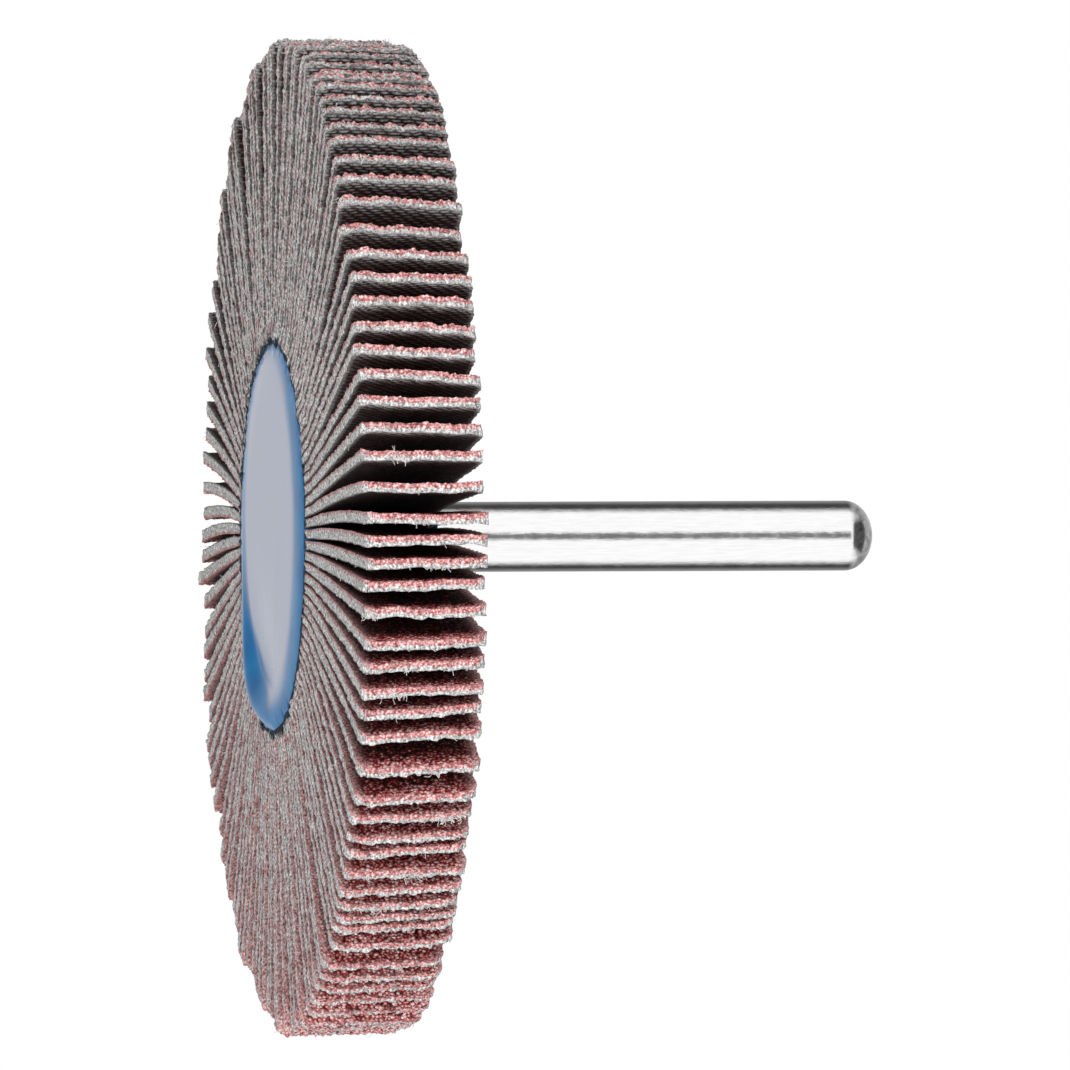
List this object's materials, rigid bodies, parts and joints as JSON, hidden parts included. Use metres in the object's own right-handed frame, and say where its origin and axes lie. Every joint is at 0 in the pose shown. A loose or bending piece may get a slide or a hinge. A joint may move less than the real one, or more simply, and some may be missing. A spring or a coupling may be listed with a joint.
{
  "type": "flap wheel",
  "caption": "Mounted flap wheel: a dense fan of abrasive cloth flaps set edgewise round a cast resin hub, on a straight steel shank for a collet or chuck.",
  "frame": {"origin": "centre of the hub's flat front face, on the spindle's axis", "axes": "+Z along the spindle's axis, from the hub's front face towards the shank's domed end; +X through the first flap"},
  "size_m": [0.0857, 0.0857, 0.0523],
  "materials": {
    "abrasive_cloth": "red-brown grain on one side, grey twill cloth on the other",
    "blue_resin": "glossy cast resin",
    "polished_steel": "ground and polished"
  },
  "bodies": {
    "root": {"spindle": "polished_steel", "resin_hub": "blue_resin", "flap_pair_01": "abrasive_cloth", "flap_pair_02": "abrasive_cloth", "flap_pair_03": "abrasive_cloth", "flap_pair_04": "abrasive_cloth", "flap_pair_05": "abrasive_cloth", "flap_pair_06": "abrasive_cloth", "flap_pair_07": "abrasive_cloth", "flap_pair_08": "abrasive_cloth", "flap_pair_09": "abrasive_cloth", "flap_pair_10": "abrasive_cloth", "flap_pair_11": "abrasive_cloth", "flap_pair_12": "abrasive_cloth", "flap_pair_13": "abrasive_cloth", "flap_pair_14": "abrasive_cloth", "flap_pair_15": "abrasive_cloth", "flap_pair_16": "abrasive_cloth", "flap_pair_17": "abrasive_cloth", "flap_pair_18": "abrasive_cloth", "flap_pair_19": "abrasive_cloth", "flap_pair_20": "abrasive_cloth", "flap_pair_21": "abrasive_cloth", "flap_pair_22": "abrasive_cloth", "flap_pair_23": "abrasive_cloth", "flap_pair_24": "abrasive_cloth", "flap_pair_25": "abrasive_cloth", "flap_pair_26": "abrasive_cloth", "flap_pair_27": "abrasive_cloth", "flap_pair_28": "abrasive_cloth", "flap_pair_29": "abrasive_cloth", "flap_pair_30": "abrasive_cloth", "flap_pair_31": "abrasive_cloth", "flap_pair_32": "abrasive_cloth", "flap_pair_33": "abrasive_cloth", "flap_pair_34": "abrasive_cloth", "flap_pair_35": "abrasive_cloth", "flap_pair_36": "abrasive_cloth", "flap_pair_37": "abrasive_cloth", "flap_pair_38": "abrasive_cloth", "flap_pair_39": "abrasive_cloth", "flap_pair_40": "abrasive_cloth", "flap_pair_41": "abrasive_cloth", "flap_pair_42": "abrasive_cloth", "flap_pair_43": "abrasive_cloth", "flap_pair_44": "abrasive_cloth", "flap_pair_45": "abrasive_cloth", "flap_pair_46": "abrasive_cloth", "flap_pair_47": "abrasive_cloth", "flap_pair_48": "abrasive_cloth", "flap_pair_49": "abrasive_cloth", "flap_pair_50": "abrasive_cloth", "flap_pair_51": "abrasive_cloth", "flap_pair_52": "abrasive_cloth", "flap_pair_53": "abrasive_cloth", "flap_pair_54": "abrasive_cloth", "flap_pair_55": "abrasive_cloth", "flap_pair_56": "abrasive_cloth", "flap_pair_57": "abrasive_cloth", "flap_pair_58": "abrasive_cloth"}
  },
  "joints": []
}
